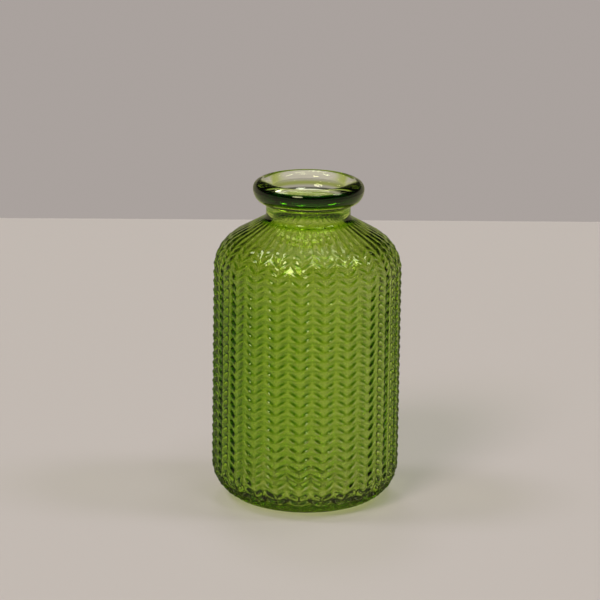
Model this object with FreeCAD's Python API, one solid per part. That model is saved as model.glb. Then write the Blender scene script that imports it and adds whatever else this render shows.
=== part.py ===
import FreeCAD, Part
import math
import os

# Glass bud vase: a small bottle-shaped vase, moulded in one piece of glass.
# Millimetres, +Z up. The origin is the middle of the face that the vase stands on.
# Every outside radius is taken over the crests of the moulded relief, which is left plain here.
# The glass is split into five zones that meet face to face: base, body wall, shoulder, neck and rim.

# Driving dimensions
BODY_DIAMETER = 60.0
HEIGHT = 104.0
RIM_DIAMETER = 35.3
NECK_DIAMETER = 26.8
BORE_DIAMETER = 22.6
WALL = 2.8
FLOOR = 5.0
BASE_CORNER_RADIUS = 12.0
INNER_CORNER_RADIUS = 7.0
SHOULDER_RADIUS = 13.5
SHOULDER_SLOPE = 29.2
NECK_ROOT_HEIGHT = 92.0
NECK_ROOT_FILLET = 1.6
INNER_ROOT_FILLET = 4.0
RIM_BOTTOM = 96.8
RIM_NOSE_HEIGHT = 101.3
RIM_CREST_RADIUS = 14.3
RIM_INNER_DROP = 3.0
PUNT_RADIUS = 14.5
PUNT_RISE = 1.6

# Worked out from the driving dimensions
BODY_R = BODY_DIAMETER / 2
BODY_INNER_R = BODY_R - WALL
RIM_R = RIM_DIAMETER / 2
NECK_R = NECK_DIAMETER / 2
BORE_R = BORE_DIAMETER / 2
SLOPE = math.tan(math.radians(SHOULDER_SLOPE))
WALL_DROP = WALL / math.cos(math.radians(SHOULDER_SLOPE))
HALF_TURN = math.tan(math.radians((90 - SHOULDER_SLOPE) / 2))
SHOULDER_RUN = SHOULDER_RADIUS * HALF_TURN
SHOULDER_INNER_RUN = (SHOULDER_RADIUS - WALL) * HALF_TURN
NECK_ROOT_RUN = NECK_ROOT_FILLET * HALF_TURN
INNER_ROOT_RUN = INNER_ROOT_FILLET * HALF_TURN
SHOULDER_CORNER_HEIGHT = NECK_ROOT_HEIGHT - (BODY_R - NECK_R) * SLOPE
BODY_TOP = SHOULDER_CORNER_HEIGHT - SHOULDER_RUN
BODY_BOTTOM = BASE_CORNER_RADIUS
NECK_BOTTOM = NECK_ROOT_HEIGHT + NECK_ROOT_RUN

AXIS_POINT = FreeCAD.Vector(0, 0, 0)
AXIS = FreeCAD.Vector(0, 0, 1)
SHORTEST_EDGE = 1e-6


def sloped_height(radius):
    """Height of the straight inside slope of the shoulder at a radius."""
    return NECK_ROOT_HEIGHT - (radius - NECK_R) * SLOPE - WALL_DROP


def cut_corner(before, corner, after, run_in, run_out):
    """Start and end of the arc at a corner, and the weight that makes it round."""
    way_in = (corner - before).normalize()
    way_out = (after - corner).normalize()
    start = corner - way_in * run_in
    end = corner + way_out * run_out
    return start, end, math.cos(way_in.getAngle(way_out) / 2)


def corner_arc(start, corner, end, weight):
    """An arc that leaves start towards corner and reaches end coming from corner.
    It is part of a circle where both runs are equal, and of an oval where they differ."""
    curve = Part.BezierCurve()
    curve.setPoles([start, corner, end])
    curve.setWeight(2, weight)
    return curve.toShape()


def turned(corners):
    """A solid of revolution about Z from the closed outline of its section.
    A corner is (radius, height), or (radius, height, run_in, run_out) where it is rounded."""
    points = [FreeCAD.Vector(c[0], 0, c[1]) for c in corners]
    edges = []
    stretch_ends = []
    for i, corner in enumerate(corners):
        run_in, run_out = corner[2:] if len(corner) == 4 else (0.0, 0.0)
        before = points[i - 1]
        after = points[(i + 1) % len(points)]
        start, end, weight = cut_corner(before, points[i], after, run_in, run_out)
        stretch_ends.append((start, end))
        if run_in or run_out:
            edges.append(corner_arc(start, points[i], end, weight))
    for i, (start, _) in enumerate(stretch_ends):
        previous_end = stretch_ends[i - 1][1]
        if previous_end.distanceToPoint(start) > SHORTEST_EDGE:
            edges.append(Part.makeLine(previous_end, start))
    section = Part.Face(Part.Wire(Part.__sortEdges__(edges)))
    return section.revolve(AXIS_POINT, AXIS, 360)


def base():
    """Floor and rounded bottom corner, with a shallow punt inside the ring that the vase stands on."""
    punt_reach = PUNT_RADIUS / 2
    return turned(
        [
            (0, PUNT_RISE),
            (punt_reach, PUNT_RISE, punt_reach, math.hypot(punt_reach, PUNT_RISE)),
            (PUNT_RADIUS, 0),
            (BODY_R, 0, BASE_CORNER_RADIUS, BASE_CORNER_RADIUS),
            (BODY_R, BODY_BOTTOM),
            (BODY_INNER_R, BODY_BOTTOM),
            (BODY_INNER_R, FLOOR, BODY_BOTTOM - FLOOR, INNER_CORNER_RADIUS),
            (0, FLOOR),
        ]
    )


def body_wall():
    """The straight wall of the body."""
    return turned(
        [
            (BODY_INNER_R, BODY_BOTTOM),
            (BODY_R, BODY_BOTTOM),
            (BODY_R, BODY_TOP),
            (BODY_INNER_R, BODY_TOP),
        ]
    )


def shoulder():
    """The domed shoulder, which rises as a shallow cone to the root of the neck."""
    return turned(
        [
            (BODY_INNER_R, BODY_TOP),
            (BODY_R, BODY_TOP),
            (BODY_R, SHOULDER_CORNER_HEIGHT, SHOULDER_RUN, SHOULDER_RUN),
            (NECK_R, NECK_ROOT_HEIGHT, NECK_ROOT_RUN, NECK_ROOT_RUN),
            (NECK_R, NECK_BOTTOM),
            (BORE_R, NECK_BOTTOM),
            (BORE_R, sloped_height(BORE_R), INNER_ROOT_RUN, INNER_ROOT_RUN),
            (BODY_INNER_R, sloped_height(BODY_INNER_R), SHOULDER_INNER_RUN, SHOULDER_INNER_RUN),
        ]
    )


def neck():
    """The short straight neck."""
    return turned(
        [
            (BORE_R, NECK_BOTTOM),
            (NECK_R, NECK_BOTTOM),
            (NECK_R, RIM_BOTTOM),
            (BORE_R, RIM_BOTTOM),
        ]
    )


def rim():
    """The rounded bead round the mouth, softly rolled in to the bore."""
    overhang = RIM_R - NECK_R
    nose_rise = RIM_NOSE_HEIGHT - RIM_BOTTOM
    return turned(
        [
            (BORE_R, RIM_BOTTOM),
            (NECK_R, RIM_BOTTOM),
            (RIM_R, RIM_BOTTOM, overhang, nose_rise),
            (RIM_R, HEIGHT, HEIGHT - RIM_NOSE_HEIGHT, RIM_R - RIM_CREST_RADIUS),
            (BORE_R, HEIGHT, RIM_CREST_RADIUS - BORE_R, RIM_INNER_DROP),
        ]
    )


ZONES = {
    "base": base,
    "body_wall": body_wall,
    "shoulder": shoulder,
    "neck": neck,
    "rim": rim,
}

os.makedirs("parts", exist_ok=True)
for name, make in ZONES.items():
    make().exportStep("parts/" + name + ".step")
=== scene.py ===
import math

import bpy
import numpy as np
from mathutils import Matrix, Vector


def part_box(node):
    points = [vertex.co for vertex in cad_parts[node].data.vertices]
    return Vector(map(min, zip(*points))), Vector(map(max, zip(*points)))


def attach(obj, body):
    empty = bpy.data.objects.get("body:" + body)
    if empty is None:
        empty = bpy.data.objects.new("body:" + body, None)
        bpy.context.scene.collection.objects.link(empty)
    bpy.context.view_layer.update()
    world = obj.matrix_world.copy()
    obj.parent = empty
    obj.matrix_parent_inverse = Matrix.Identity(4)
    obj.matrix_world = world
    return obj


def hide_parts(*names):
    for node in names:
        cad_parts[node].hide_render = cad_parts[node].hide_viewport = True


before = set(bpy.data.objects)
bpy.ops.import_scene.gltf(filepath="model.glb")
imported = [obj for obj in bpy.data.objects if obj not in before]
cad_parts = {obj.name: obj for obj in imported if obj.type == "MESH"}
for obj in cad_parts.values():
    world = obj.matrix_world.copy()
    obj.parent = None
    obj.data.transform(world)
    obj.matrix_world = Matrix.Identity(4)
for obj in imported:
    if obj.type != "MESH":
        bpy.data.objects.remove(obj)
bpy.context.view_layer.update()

# A small moulded glass vase: one piece of glass, whose relief is real geometry.
# Lengths are in metres, +Z is up, and the vase stands on the floor at the origin.
MM = 0.001


def band(level, start, end):
    """A stretch of height, radius or length, from start to end millimetres past a level."""
    return level + start * MM, level + end * MM


# ---------------------------------------------------------------- sizes, from the frame
BODY_LOW, BODY_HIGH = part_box("body_wall")
RIM_LOW, RIM_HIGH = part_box("rim")
BODY_R = BODY_HIGH.x
BODY_BOTTOM = BODY_LOW.z
BODY_TOP = BODY_HIGH.z
NECK_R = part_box("neck")[1].x
RIM_BOTTOM = RIM_LOW.z
RIM_R = RIM_HIGH.x
HEIGHT = RIM_HIGH.z

# Sizes that the frame's boxes don't give, as the design has them
WALL = 2.8 * MM
FLOOR = 5.0 * MM
BORE_R = 11.3 * MM
INNER_CORNER = 7.0 * MM
SHOULDER_RADIUS = 13.5 * MM
SHOULDER_ANGLE = math.radians(29.2)
NECK_ROOT_HEIGHT = 92.0 * MM
NECK_ROOT_FILLET = 1.6 * MM
INNER_ROOT_FILLET = 4.0 * MM
RIM_NOSE_HEIGHT = 101.3 * MM
RIM_CREST_R = 14.3 * MM
RIM_INNER_DROP = 3.0 * MM
RIM_UNDERCUT = 0.6 * MM
PUNT_R = 14.5 * MM
PUNT_RISE = 1.6 * MM
REST_RING_EDGE = 1.0 * MM

# The shoulder's slope, the wall's height under it, and how far a rounded corner between the slope
# and an upright wall runs along each of them for each unit of its radius
SLOPE = math.tan(SHOULDER_ANGLE)
SLOPED_WALL_DROP = WALL / math.cos(SHOULDER_ANGLE)
CORNER_RUN = math.tan((math.pi / 2 - SHOULDER_ANGLE) / 2)
INNER_R = BODY_R - WALL

# ---------------------------------------------------------------- the relief
# Columns of chevrons on the body, made of slanted pillows, which turn into flutes on the shoulder.
# One column's apex line is nearly in front, at -Y. The powers make the pillows narrower or lopsided.
COLUMNS = 24
HALF_COLUMN = math.pi / COLUMNS
FIRST_APEX = math.radians(-90 + 3.9)
PITCH = 3.0 * MM
STROKE_DROP = 2.2 * MM
GROOVE_PHASE = 0.25
LOBE_POWER = 1.5
RIB_SKEW = 1.6
RELIEF_DEPTH = 0.75 * MM
FLUTE_DEPTH = 0.12 * MM
KNIT_DEPTH_SHARE = 0.3
KNIT_BAND = band(NECK_ROOT_HEIGHT, -4.5, -7.5)
DEEP_BAND = band(NECK_ROOT_HEIGHT, -10, -20)
RELIEF_STARTS = band(0, 0.4, 3.0)
RELIEF_ENDS = band(NECK_R, 0.6, 2.4)

# The inside wall swells and sinks a little, in slow waves
WAVE_DEPTH = 0.10 * MM
WAVES_ROUND = 3
WAVE_CLIMB = 9 * MM
WAVE_SWELL = 6.3 * MM
SMALL_WAVE_SHARE = 0.7
SMALL_WAVES_ROUND = 5
SMALL_WAVE_CLIMB = 13 * MM
SMALL_WAVE_START = 1.3
WAVE_BAND = band(BORE_R, 1, 6)

# ---------------------------------------------------------------- the coat
# Light that crosses one layer of the coat keeps these shares of its red, green and blue
COAT = (0.70, 0.83, 0.275)
LAMP_COAT = (0.44, 0.53, 0.10)
LAMP_LAYERS_AT_BASE = 0.7
LAMP_BAND = band(0, 3, 15)

# One side has more layers and is darker. Fewer layers on the shoulder and near the base are painted light,
# which lightens them
UNEVEN = 0.38
DARKER_SIDE = math.radians(185)
SIDE_BAND = band(NECK_ROOT_HEIGHT, -6, -16)
SHOULDER_PAINTED_LIGHT = 0.28
SHOULDER_LIGHT_BAND = band(NECK_ROOT_HEIGHT, -32, -16)
BASE_PAINTED_LIGHT = 0.1
BASE_LIGHT_BAND = band(0, 14, 4)
UNDERSIDE_BAND = band(0, 0, 2)

# Painted shade: extra layers of coat darken the grooves, a fainter ring at each pitch and the gaps between
# the flutes, as the relief's slopes would. A streak below each groove with fewer layers is a painted
# highlight.
# Widths and places are shares of a pitch.
GROOVE_SHADE = 5.5
GROOVE_SHADE_WIDTH = 0.14
GROOVE_SHADE_LOBE = 2.4
GROOVE_SHADE_BAND = band(0, 1, 4)
PAINTED_GLINT_SHARE = 0.22
PAINTED_GLINT_BELOW = 0.27
PAINTED_GLINT_WIDTH = 0.09
SHADE_LINE_SHARE = 0.25
SHADE_LINE_PHASE = 0.47
SHADE_LINE_WIDTH = 0.13
FLUTE_SHADE = 1.6
FLUTE_SHADE_BAND = band(NECK_ROOT_HEIGHT, 0, -1)

# Painted shade at the neck's root and in two rings on the neck, as extra layers of coat, each (height,
# width)
ROOT_SHADE = 2.4
ROOT_SHADE_R = NECK_R + 1.0 * MM
ROOT_SHADE_WIDTH = 0.8 * MM
NECK_SHADE = 3.0
NECK_BAND = band(NECK_ROOT_HEIGHT, 0.4, 1.2)
NECK_SHADE_RINGS = ((RIM_BOTTOM - 0.5 * MM, 0.3 * MM), (RIM_BOTTOM - 2.1 * MM, 0.35 * MM))

# Painted shade on the rim: where the outside is seen from the air its many layers darken the bead's near
# side to near-black, while the same surface seen from within the glass has few, so the far side stays pale
BEAD_SHADE = 20.0
UNDER_BEAD_SHADE = 9.0
ON_LIP = 0.15
RIM_SHADE_RING = 1.0
LIP_BAND = band(RIM_BOTTOM, -0.2, 0.4)
UNDER_BEAD_BAND = band(HEIGHT, -6.1, -5.0)
BEAD_BAND = band(HEIGHT, -4.0, -3.2)
CREST_BAND = band(HEIGHT, -1.5, -0.9)
RING_STARTS = band(HEIGHT, -5.3, -4.7)
RING_ENDS = band(HEIGHT, -3.8, -4.4)

# ---------------------------------------------------------------- the gloss
GLASS_IOR = 1.5
GLOSS = (0.85, 0.92, 0.55, 1)
MOST_GLOSS = 0.09
MOST_GLOSS_ABOVE = 0.5
GLOSS_BAND = band(NECK_ROOT_HEIGHT, -10, -6)
GLOSS_AT_BASE = 0.3
BASE_GLOSS_BAND = band(0, 2, 12)
ROUGH = 0.25
ROUGH_BAND = band(0, 10, 3)

# What the material reads on the inside of the vase, which has no coat
INSIDE_VALUES = {"from_air": 1.0, "from_glass": 1.0, "lamps": 1.0, "most_gloss": 1.0, "rough": 0.0}

# ---------------------------------------------------------------- the mesh grid
# The rows slant with the chevrons between SLANT_STARTS, past the rest ring, and SLANT_ENDS, past the
# body's top; both are in millimetres along the outline
FACES_PER_COLUMN = 12
ROUND = COLUMNS * FACES_PER_COLUMN
ROWS_PER_PITCH = 7
DENSE_STEP = 0.05 * MM
ARC_STEPS = 80
SAME_POINT = 1e-9
JUST_OFF_FLOOR = 0.02 * MM
JUST_BELOW = 0.01 * MM
PAST_REST_RING = PUNT_R + 4 * MM
KNIT_PAST_BODY = 14 * MM
SLANT_STARTS = (0, 8)
SLANT_ENDS = (21, 13)
INNER_CORNER_LENGTH = 11 * MM

# The rows' spacing, from the punt up the outside and then down the inside
PUNT_ROWS = 1.6 * MM
BASE_ROWS = 0.6 * MM
KNIT_ROWS = PITCH / ROWS_PER_PITCH
SHOULDER_ROWS = 0.5 * MM
NECK_ROWS = 0.6 * MM
RIM_ROWS = 0.45 * MM
BORE_ROWS = 0.6 * MM
INNER_SHOULDER_ROWS = 1.5 * MM
INNER_WALL_ROWS = 3.5 * MM
INNER_CORNER_ROWS = 1.0 * MM

# ---------------------------------------------------------------- the stage, lamps and camera
FLOOR_REACH = 0.367
FLOOR_SIDES = 8
FLOOR_TURN = math.radians(1.9)
FLOOR_COLOUR = (0.62, 0.57, 0.54, 1)
FLOOR_ROUGHNESS = 0.6

# The room's colours, and where each gives way to the next, as the height of a unit direction
DARK = (0.03, 0.03, 0.03, 1)
ROOM_WALL = (0.40, 0.36, 0.34, 1)
CEILING = (0.9, 0.88, 0.85, 1)
DARK_TO_WALL = (-0.30, -0.255)
WALL_TO_DARK = (0.10, 0.26)
DARK_TO_CEILING = (0.84, 0.94)

# Each lamp's azimuth (0 is +X, 90 is +Y), elevation, strength, spread in degrees and colour
WARM = (1.0, 0.93, 0.8)
NEUTRAL = (1.0, 1.0, 1.0)
LAMPS = (
    (-117, 42, 1.12, 19, WARM),
    (-5, 51, 0.45, 15, NEUTRAL),
    (180, 59, 0.5, 15, NEUTRAL),
    (100, 60, 0.25, 15, NEUTRAL),
    (-60, 66, 0.25, 15, NEUTRAL),
    (40, 75, 0.2, 15, NEUTRAL),
)

CAMERA_DISTANCE = 1.235
CAMERA_ELEVATION = math.radians(15.7)
CAMERA_ROLL = math.radians(0.8)
CAMERA_LENS = 232.0
CAMERA_NEAREST = 0.01
CAMERA_FURTHEST = 100
VASE_MIDDLE = Vector((0, 0, 0.051))
AIM = Vector((-0.00226, 0, 0.0646))

# Sockets that are known only by their number
MIX_FACTOR, MIX_FIRST, MIX_SECOND = 0, 1, 2
MATH_FIRST, MATH_SECOND = 0, 1
COLOUR_FACTOR, COLOUR_FIRST, COLOUR_SECOND, COLOUR_RESULT = 0, 6, 7, 2


# ---------------------------------------------------------------- small sums
def ramp(ends, value):
    """0 at the first end, 1 at the second, and a smooth change between. The ends may run downwards."""
    start, end = ends
    t = np.clip((value - start) / (end - start), 0, 1)
    return t * t * (3 - 2 * t)


def bump(value, middle, width):
    """1 at the middle, and softly down to 0 on both sides."""
    return np.exp(-(((value - middle) / width) ** 2))


def between(first, second, share):
    """From the first at share 0 to the second at share 1."""
    return first + (second - first) * share


# ---------------------------------------------------------------- the section's outlines
class Path:
    """A smooth line in the section, read by the length along it."""

    def __init__(self, corners):
        points = self.rounded(corners)
        steps = np.linalg.norm(np.diff(points, axis=0), axis=1)
        points = points[np.concatenate([[True], steps > SAME_POINT])]
        lengths = np.concatenate([[0], np.cumsum(np.linalg.norm(np.diff(points, axis=0), axis=1))])
        self.s = np.linspace(0, lengths[-1], int(lengths[-1] / DENSE_STEP) + 1)
        self.r = np.interp(self.s, lengths, points[:, 0])
        self.z = np.interp(self.s, lengths, points[:, 1])
        self.way_r = np.gradient(self.r, self.s)
        self.way_z = np.gradient(self.z, self.s)

    @staticmethod
    def rounded(corners):
        """Points along the corners' line. A corner is (radius, height, run_in, run_out)."""
        places = [np.array(c[:2]) for c in corners]
        points = [places[0][None]]
        for before, at, after, corner in zip(places, places[1:], places[2:], corners[1:]):
            way_in = (at - before) / np.linalg.norm(at - before)
            way_out = (after - at) / np.linalg.norm(after - at)
            start = at - way_in * corner[2]
            end = at + way_out * corner[3]
            weight = math.sqrt(max(0.0, (1 + way_in @ way_out) / 2))
            t = np.linspace(0, 1, ARC_STEPS)[:, None]
            first, middle, last = (1 - t) ** 2, 2 * t * (1 - t) * weight, t**2
            points.append((first * start + middle * at + last * end) / (first + middle + last))
        points.append(places[-1][None])
        return np.concatenate(points)

    def at(self, s):
        """Radius, height, and the outward normal's radius and height parts at the lengths s."""
        r, z, way_r, way_z = (np.interp(s, self.s, v) for v in (self.r, self.z, self.way_r, self.way_z))
        size = np.hypot(way_r, way_z)
        return r, z, way_z / size, -way_r / size

    def length_up_to(self, height, start=0.0):
        """The length at which a path that rises first reaches a height, after start."""
        after = self.s >= start
        return float(self.s[after][np.argmax(self.z[after] >= height)])

    def length_down_to(self, height):
        """The length at which a path that falls first reaches a height."""
        return float(self.s[np.argmax(self.z <= height)])


def outside_path():
    """From the middle of the punt, round the base, up the body and neck to the rim's crest."""
    run = SHOULDER_RADIUS * CORNER_RUN
    root = NECK_ROOT_FILLET * CORNER_RUN
    punt = PUNT_R / 2
    return Path([
        (0, PUNT_RISE, 0, 0),
        (punt, PUNT_RISE, punt, math.hypot(punt, PUNT_RISE) - REST_RING_EDGE),
        (PUNT_R, 0, REST_RING_EDGE, REST_RING_EDGE),
        (BODY_R, 0, BODY_BOTTOM, BODY_BOTTOM),
        (BODY_R, NECK_ROOT_HEIGHT - (BODY_R - NECK_R) * SLOPE, run, run),
        (NECK_R, NECK_ROOT_HEIGHT, root, root),
        (NECK_R, RIM_BOTTOM, RIM_UNDERCUT, RIM_UNDERCUT),
        (RIM_R, RIM_BOTTOM, RIM_R - NECK_R - RIM_UNDERCUT, RIM_NOSE_HEIGHT - RIM_BOTTOM),
        (RIM_R, HEIGHT, HEIGHT - RIM_NOSE_HEIGHT, RIM_R - RIM_CREST_R),
        (RIM_CREST_R, HEIGHT, 0, 0),
    ])


def sloped_height(radius):
    """Height of the straight inside slope of the shoulder at a radius."""
    return NECK_ROOT_HEIGHT - (radius - NECK_R) * SLOPE - SLOPED_WALL_DROP


def inside_path():
    """From the rim's crest, down the bore and the inside wall to the middle of the floor."""
    run = (SHOULDER_RADIUS - WALL) * CORNER_RUN
    root = INNER_ROOT_FILLET * CORNER_RUN
    return Path([
        (RIM_CREST_R, HEIGHT, 0, 0),
        (BORE_R, HEIGHT, RIM_CREST_R - BORE_R, RIM_INNER_DROP),
        (BORE_R, sloped_height(BORE_R), root, root),
        (INNER_R, sloped_height(INNER_R), run, run),
        (INNER_R, FLOOR, INNER_CORNER, INNER_CORNER),
        (0, FLOOR, 0, 0),
    ])


def stations(stretches):
    """Lengths along a path for the mesh rows. stretches are (end length, spacing)."""
    found = [np.array([0.0])]
    low = 0.0
    for high, spacing in stretches:
        count = max(1, round((high - low) / spacing))
        found.append(np.linspace(low, high, count + 1)[1:])
        low = high
    return np.concatenate(found)


# ---------------------------------------------------------------- the relief
def across_column(angle):
    """0 at a chevron's apex line and 1 at the valley between two columns."""
    x = (angle - FIRST_APEX) / HALF_COLUMN
    return np.abs(np.mod(x + 1, 2) - 1)


def lobe(angle):
    """1 in the middle of each half of a column, and 0 at its apex line and its valley."""
    return np.sin(math.pi * across_column(angle))


def row_phase(s, angle):
    """Counts the rows of pillows upwards. A whole number is the groove between two rows."""
    return (s + STROKE_DROP * across_column(angle)) / PITCH - GROOVE_PHASE


def knitted(height):
    """1 where the columns are rows of pillows, 0 on the shoulder where they are plain flutes."""
    return ramp(KNIT_BAND, height)


def relief(s, height, radius, angle):
    """How far the glass stands back from its crests."""
    rib = np.sin(math.pi * np.mod(row_phase(s, angle), 1) ** RIB_SKEW)
    knit = knitted(height)
    crest = lobe(angle) ** LOBE_POWER * (knit * rib + (1 - knit))
    depth_share = KNIT_DEPTH_SHARE * knit + (1 - KNIT_DEPTH_SHARE) * ramp(DEEP_BAND, height)
    depth = between(FLUTE_DEPTH, RELIEF_DEPTH, depth_share)
    fade_neck = ramp(RELIEF_ENDS, radius) * (height < NECK_ROOT_HEIGHT)
    return depth * ramp(RELIEF_STARTS, height) * fade_neck * (1 - crest)


def inside_waves(height, angle):
    """The inside of moulded glass is never quite even."""
    large = np.sin(WAVES_ROUND * angle + height / WAVE_CLIMB) * np.sin(height / WAVE_SWELL)
    small = np.sin(SMALL_WAVES_ROUND * angle - height / SMALL_WAVE_CLIMB + SMALL_WAVE_START)
    return WAVE_DEPTH * (large + SMALL_WAVE_SHARE * small)


# ---------------------------------------------------------------- the coat
def painted_relief_shade(s, height, angle):
    """Painted shade: layers of coat added in a ring at each groove, in a fainter ring at each pitch, and
    between the flutes. A streak below each groove with fewer layers is a painted highlight, so the sum may
    be negative."""
    phase = row_phase(s, angle)
    from_groove = phase - np.round(phase)
    stroke = bump(from_groove, 0, GROOVE_SHADE_WIDTH) - PAINTED_GLINT_SHARE * bump(from_groove, -PAINTED_GLINT_BELOW, PAINTED_GLINT_WIDTH)
    shade_line = bump(np.mod(s / PITCH, 1), SHADE_LINE_PHASE, SHADE_LINE_WIDTH)
    knit = GROOVE_SHADE * (stroke * lobe(angle) ** GROOVE_SHADE_LOBE + SHADE_LINE_SHARE * shade_line)
    flutes = FLUTE_SHADE * ramp(FLUTE_SHADE_BAND, height) * (1 - lobe(angle)) ** 2
    return knit * knitted(height) * ramp(GROOVE_SHADE_BAND, height) + flutes * (1 - knitted(height))


def glass_layers(s, height, radius, angle):
    """The layers of coat on the glass, leaving out the rim, with their painted shade and painted light."""
    side = UNEVEN * np.cos(angle - DARKER_SIDE) * ramp(SIDE_BAND, height)
    layers = (1 - SHOULDER_PAINTED_LIGHT * ramp(SHOULDER_LIGHT_BAND, height)) * (1 + side + painted_relief_shade(s, height, angle))
    on_neck = ramp(NECK_BAND, height)
    at_root = bump(radius, ROOT_SHADE_R, ROOT_SHADE_WIDTH) * (1 - on_neck) * (height > BODY_TOP)
    layers = layers + ROOT_SHADE * at_root
    for ring_height, ring_width in NECK_SHADE_RINGS:
        layers = layers + NECK_SHADE * bump(height, ring_height, ring_width) * on_neck
    return layers


def layers_from_air(layers, height):
    """The layers where the outside is seen from the air: many on the bead, as painted shade, few on its
    crest.
    """
    below = layers + UNDER_BEAD_SHADE * ramp(UNDER_BEAD_BAND, height)
    beaded = between(below, BEAD_SHADE, ramp(BEAD_BAND, height))
    return between(beaded, ON_LIP, ramp(CREST_BAND, height))


def layers_from_glass(layers, height):
    """The layers where the outside is seen from within the glass: few on the rim, with one ring of painted
    shade.
    """
    ring = ramp(RING_STARTS, height) * ramp(RING_ENDS, height)
    return between(layers, ON_LIP + RIM_SHADE_RING * ring, ramp(LIP_BAND, height))


def glass_values(s, height, radius, angle):
    """What the material reads on the outside: coat colours, which carry painted shade and painted light,
    and numbers as greys.
    """
    layers = glass_layers(s, height, radius, angle)
    # Fewer layers near the base are painted light
    coated = ramp(UNDERSIDE_BAND, height) * (1 - BASE_PAINTED_LIGHT * ramp(BASE_LIGHT_BAND, height))
    gloss_above = between(MOST_GLOSS, MOST_GLOSS_ABOVE, ramp(GLOSS_BAND, height))

    def through(colour, crossed):
        return np.array(colour) ** (np.maximum(crossed, 0) * coated)[..., None]

    def grey(value):
        return value[..., None] * np.ones(3)

    return {
        "from_air": through(COAT, layers_from_air(layers, height)),
        "from_glass": through(COAT, layers_from_glass(layers, height)),
        "lamps": through(LAMP_COAT, between(LAMP_LAYERS_AT_BASE, 1, ramp(LAMP_BAND, height))),
        "most_gloss": grey(gloss_above * between(GLOSS_AT_BASE, 1, ramp(BASE_GLOSS_BAND, height))),
        "rough": grey(ROUGH * ramp(ROUGH_BAND, height)),
    }


# ---------------------------------------------------------------- the mesh
def place(radius, height, angle):
    """Points at a radius, height and angle."""
    return np.stack([radius * np.cos(angle), radius * np.sin(angle), height], -1)


def outside_rows(path, angles):
    """Points of the outside, and what the material reads there. The rows of the body follow the
    chevrons, so that the mesh's edges run along the grooves."""
    ring = path.length_up_to(JUST_OFF_FLOOR, start=PAST_REST_RING)
    body_start = path.length_up_to(BODY_BOTTOM)
    body_end = path.length_up_to(BODY_TOP)
    root = path.length_up_to(NECK_ROOT_HEIGHT)
    under_rim = path.length_up_to(RIM_BOTTOM - JUST_BELOW)
    knit_end = body_start + math.floor((body_end + KNIT_PAST_BODY - body_start) / PITCH) * PITCH
    s = stations([
        (ring, PUNT_ROWS), (body_start, BASE_ROWS), (knit_end, KNIT_ROWS), (root, SHOULDER_ROWS),
        (under_rim, NECK_ROWS), (path.s[-1], RIM_ROWS)])
    slanted = ramp(band(ring, *SLANT_STARTS), s) * ramp(band(body_end, *SLANT_ENDS), s)
    s_grid = s[:, None] - STROKE_DROP * slanted[:, None] * across_column(angles)[None, :]
    r, z, normal_r, normal_z = path.at(s_grid)
    angle_grid = np.broadcast_to(angles, s_grid.shape)
    from_floor = s_grid - body_start + BODY_BOTTOM
    back = relief(from_floor, z, r, angle_grid)
    points = place(r - normal_r * back, z - normal_z * back, angle_grid)
    return points, glass_values(from_floor, z, r, angle_grid)


def inside_rows(path, angles):
    """Points of the inside, from the rim's crest down to the middle of the floor."""
    floor_start = path.length_down_to(FLOOR + INNER_CORNER)
    s = stations([
        (path.length_down_to(RIM_BOTTOM), BORE_ROWS), (path.length_down_to(BODY_TOP), INNER_SHOULDER_ROWS),
        (floor_start, INNER_WALL_ROWS), (floor_start + INNER_CORNER_LENGTH, INNER_CORNER_ROWS),
        (path.s[-1], INNER_WALL_ROWS)])
    s_grid = np.broadcast_to(s[:, None], (len(s), len(angles)))
    r, z, normal_r, normal_z = path.at(s_grid)
    angle_grid = np.broadcast_to(angles, s_grid.shape)
    wave = inside_waves(z, angle_grid) * ramp(WAVE_BAND, r)
    return place(r + normal_r * wave, z + normal_z * wave, angle_grid)


def store_values(mesh, values):
    """Gives the mesh one colour attribute for each thing that the material reads.
    The outside's points come first in the mesh, without the one in the middle of the punt."""
    for name, grid in values.items():
        outside = grid[1:].reshape(-1, 3)
        colours = np.full((len(mesh.vertices), 4), INSIDE_VALUES[name])
        colours[:len(outside), :3] = outside
        mesh.attributes.new(name, "FLOAT_COLOR", "POINT").data.foreach_set("color", colours.ravel())


def glass_mesh():
    """One closed skin: up the outside, over the rim and down the inside, with a fan at each end."""
    angles = np.arange(ROUND) * 2 * math.pi / ROUND + FIRST_APEX
    outside, values = outside_rows(outside_path(), angles)
    inside = inside_rows(inside_path(), angles)
    rings = np.concatenate([outside[1:], inside[1:-1]])
    rows = len(rings)
    punt_middle, floor_middle = rows * ROUND, rows * ROUND + 1
    points = np.concatenate([rings.reshape(-1, 3), [outside[0, 0], inside[-1, 0]]])
    index = np.arange(rows * ROUND).reshape(rows, ROUND)
    beside = np.roll(index, -1, axis=1)
    quads = np.stack([index[:-1], beside[:-1], beside[1:], index[1:]], -1).reshape(-1, 4)
    fan_low = np.stack([np.full(ROUND, punt_middle), beside[0], index[0]], -1)
    fan_high = np.stack([index[-1], beside[-1], np.full(ROUND, floor_middle)], -1)
    mesh = bpy.data.meshes.new("vase_glass")
    mesh.from_pydata(points.tolist(), [], quads.tolist() + fan_low.tolist() + fan_high.tolist())
    mesh.validate()
    mesh.shade_smooth()
    store_values(mesh, values)
    return mesh


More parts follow.
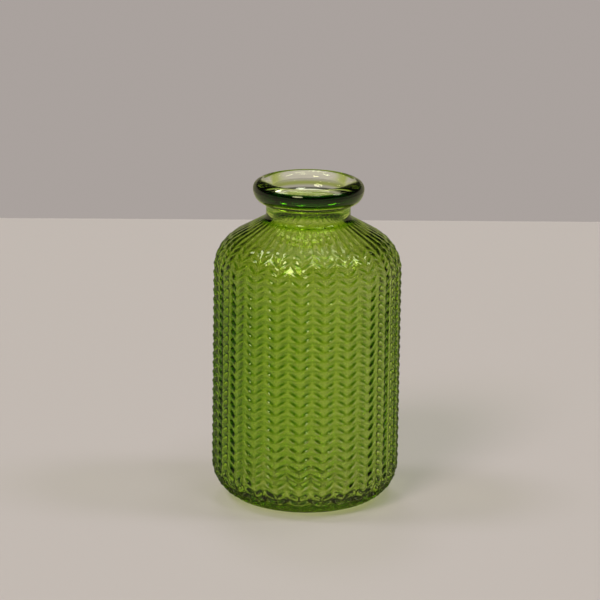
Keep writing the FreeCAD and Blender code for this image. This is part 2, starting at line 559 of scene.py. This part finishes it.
# ---------------------------------------------------------------- the glass
def glass_material():
    """Clear glass whose outside carries the green coat."""
    material = bpy.data.materials.new("green_glass")
    material.use_nodes = True
    nodes, links = material.node_tree.nodes, material.node_tree.links
    nodes.remove(nodes["Principled BSDF"])

    def add(kind, inputs, **values):
        node = nodes.new("ShaderNode" + kind)
        for name, value in values.items():
            setattr(node, name, value)
        for socket, value in inputs.items():
            if isinstance(value, bpy.types.NodeSocket):
                links.new(value, node.inputs[socket])
            else:
                node.inputs[socket].default_value = value
        return node.outputs[0]

    def read(name):
        return add("Attribute", {}, attribute_name=name)

    def mixed(factor, first, second):
        return add("MixShader", {MIX_FACTOR: factor, MIX_FIRST: first, MIX_SECOND: second})

    def surface(crossing, mirrored, share):
        through = add("BsdfRefraction", {"Color": crossing, "IOR": GLASS_IOR, "Roughness": read("rough")})
        gloss = add("BsdfAnisotropic", {"Color": mirrored, "Roughness": 0.0})
        return mixed(share, through, gloss)

    fresnel = add("Fresnel", {"IOR": GLASS_IOR})
    most_gloss = read("most_gloss")
    held_down = add("Math", {MATH_FIRST: fresnel, MATH_SECOND: most_gloss}, operation="MINIMUM")
    # The coat colours that the refraction reads carry painted shade and painted light
    from_air = surface(read("from_air"), GLOSS, held_down)

    # What the outside mirrors back into the glass is tinted as much as what passes through it
    from_glass = surface(read("from_glass"), read("from_glass"), fresnel)
    geometry = nodes.new("ShaderNodeNewGeometry")
    seen = mixed(geometry.outputs["Backfacing"], from_air, from_glass)

    # Lamps shine straight through the glass and are tinted by the coat
    light_path = nodes.new("ShaderNodeLightPath")
    lit = add("BsdfTransparent", {"Color": read("lamps")})
    whole = mixed(light_path.outputs["Is Shadow Ray"], seen, lit)
    links.new(whole, nodes["Material Output"].inputs["Surface"])
    return material


def glass_vase():
    """The whole vase, which stands for all five zones of the CAD."""
    vase = bpy.data.objects.new("vase_glass", glass_mesh())
    bpy.context.scene.collection.objects.link(vase)
    vase.data.materials.append(glass_material())
    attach(vase, "root")
    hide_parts("base", "body_wall", "shoulder", "neck", "rim")

    # The floor's soft light passes the vase by, which keeps the shadow under it light
    vase.visible_diffuse = False


# ---------------------------------------------------------------- the stage
def floor():
    """A flat floor with straight sides, one of which is the horizon behind the vase."""
    mesh = bpy.data.meshes.new("floor")
    half_side = math.pi / FLOOR_SIDES
    span = FLOOR_REACH / math.cos(half_side)
    turns = [FLOOR_TURN + (2 * side + 1) * half_side for side in range(FLOOR_SIDES)]
    corners = [(span * math.cos(turn), span * math.sin(turn), 0) for turn in turns]
    mesh.from_pydata(corners, [], [tuple(range(FLOOR_SIDES))])
    made = bpy.data.objects.new("floor", mesh)
    bpy.context.scene.collection.objects.link(made)
    material = bpy.data.materials.new("pale_floor")
    material.use_nodes = True
    shader = material.node_tree.nodes["Principled BSDF"]
    shader.inputs["Base Color"].default_value = FLOOR_COLOUR
    shader.inputs["Roughness"].default_value = FLOOR_ROUGHNESS
    mesh.materials.append(material)


def surroundings():
    """A dark ground, a grey wall, a dark band above it and a pale ceiling."""
    world = bpy.data.worlds.new("studio")
    bpy.context.scene.world = world
    world.use_nodes = True
    nodes, links = world.node_tree.nodes, world.node_tree.links
    direction = nodes.new("ShaderNodeTexCoord")
    split = nodes.new("ShaderNodeSeparateXYZ")
    links.new(direction.outputs["Generated"], split.inputs["Vector"])

    def rising(ends):
        node = nodes.new("ShaderNodeMapRange")
        node.interpolation_type = "SMOOTHSTEP"
        node.inputs["From Min"].default_value, node.inputs["From Max"].default_value = ends
        links.new(split.outputs["Z"], node.inputs["Value"])
        return node.outputs["Result"]

    def topped(below, ends, above):
        node = nodes.new("ShaderNodeMix")
        node.data_type = "RGBA"
        links.new(rising(ends), node.inputs[COLOUR_FACTOR])
        node.inputs[COLOUR_SECOND].default_value = above
        if isinstance(below, tuple):
            node.inputs[COLOUR_FIRST].default_value = below
        else:
            links.new(below, node.inputs[COLOUR_FIRST])
        return node.outputs[COLOUR_RESULT]

    shade = topped(DARK, DARK_TO_WALL, ROOM_WALL)
    shade = topped(shade, WALL_TO_DARK, DARK)
    shade = topped(shade, DARK_TO_CEILING, CEILING)
    links.new(shade, nodes["Background"].inputs["Color"])


def lamp(name, azimuth, elevation, strength, spread, colour):
    """A soft distant light, with its angles in degrees."""
    data = bpy.data.lights.new(name, "SUN")
    data.energy = strength
    data.color = colour
    data.angle = math.radians(spread)
    made = bpy.data.objects.new(name, data)
    turn, rise = math.radians(azimuth), math.radians(elevation)
    towards = Vector((math.cos(rise) * math.cos(turn), math.cos(rise) * math.sin(turn), math.sin(rise)))
    made.rotation_euler = towards.to_track_quat("Z", "Y").to_euler()
    bpy.context.scene.collection.objects.link(made)


def camera():
    data = bpy.data.cameras.new("camera")
    data.lens = CAMERA_LENS
    data.clip_start = CAMERA_NEAREST
    data.clip_end = CAMERA_FURTHEST
    made = bpy.data.objects.new("camera", data)
    bpy.context.scene.collection.objects.link(made)
    back = Vector((0, -math.cos(CAMERA_ELEVATION), math.sin(CAMERA_ELEVATION)))
    location = VASE_MIDDLE + back * CAMERA_DISTANCE
    turn = (AIM - location).to_track_quat("-Z", "Y").to_matrix() @ Matrix.Rotation(CAMERA_ROLL, 3, "Z")
    made.matrix_world = Matrix.Translation(location) @ turn.to_4x4()
    bpy.context.scene.camera = made


glass_vase()
floor()
surroundings()
for number, settings in enumerate(LAMPS):
    lamp("lamp_" + str(number), *settings)
camera()
bpy.context.scene.view_settings.view_transform = "Standard"
